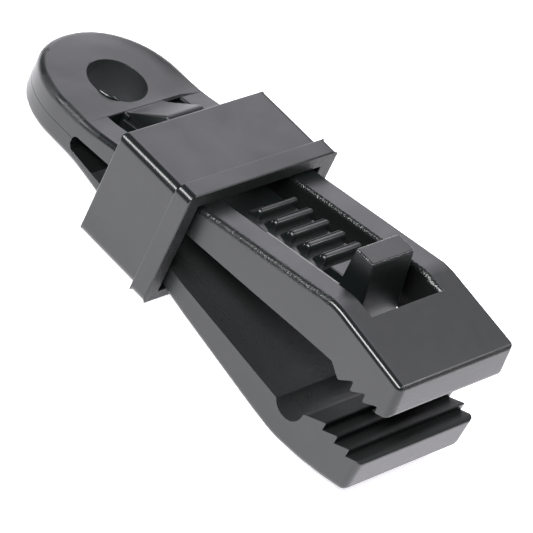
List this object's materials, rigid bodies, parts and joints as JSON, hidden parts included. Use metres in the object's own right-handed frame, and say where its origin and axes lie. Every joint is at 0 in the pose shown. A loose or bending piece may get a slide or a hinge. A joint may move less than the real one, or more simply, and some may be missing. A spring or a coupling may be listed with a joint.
{
  "type": "tarp clip",
  "caption": "Tarp clip with a round hanging eye, two toothed jaws on flexures, a sprung ratchet tongue with a thumb tab, and a lipped sleeve that slides forward to shut the jaws.",
  "frame": {"origin": "middle of the eye's hole, halfway through the eye end's thickness", "axes": "+X along the sleeve's slide to the jaw tips, +Y across the width, +Z along the eye's hole towards the side with the thumb tab"},
  "size_m": [0.1112, 0.041, 0.0384],
  "materials": {
    "body_plastic": "satin black moulded plastic",
    "sleeve_plastic": "satin black moulded plastic with a rougher lip"
  },
  "bodies": {
    "eye_end": {"eye_end": "body_plastic"},
    "upper_jaw": {"upper_jaw": "body_plastic"},
    "lower_jaw": {"lower_jaw": "body_plastic"},
    "ratchet_tongue": {"ratchet_tongue": "body_plastic", "sleeve_stop": "body_plastic", "thumb_tab": "body_plastic"},
    "sleeve": {"sleeve": "sleeve_plastic"}
  },
  "joints": [
    {"name": "sleeve_slide", "type": "slide", "parent": "eye_end", "child": "sleeve", "axis": [1, 0, 0], "range_m": [0, 0.017]},
    {"name": "upper_flex", "type": "hinge", "parent": "eye_end", "child": "upper_jaw", "pos_m": [0.009, 0, 0.00275], "axis": [0, 1, 0], "range_deg": [0, 3.82], "stiffness_Nm_per_rad": 0.1},
    {"name": "lower_flex", "type": "hinge", "parent": "eye_end", "child": "lower_jaw", "pos_m": [0.009, 0, -0.00355], "axis": [0, -1, 0], "range_deg": [0, 3.82], "stiffness_Nm_per_rad": 0.1},
    {"name": "tab_press", "type": "hinge", "parent": "upper_jaw", "child": "ratchet_tongue", "pos_m": [0.009, 0, 0.00275], "axis": [0, 1, 0], "range_deg": [0, 2.5], "stiffness_Nm_per_rad": 0.3, "springref_deg": -5.73}
  ],
  "couplings": [
    {"joint": "upper_flex", "follows": "sleeve_slide", "rad_per_m": 3.9},
    {"joint": "lower_flex", "follows": "sleeve_slide", "rad_per_m": 3.9}
  ]
}
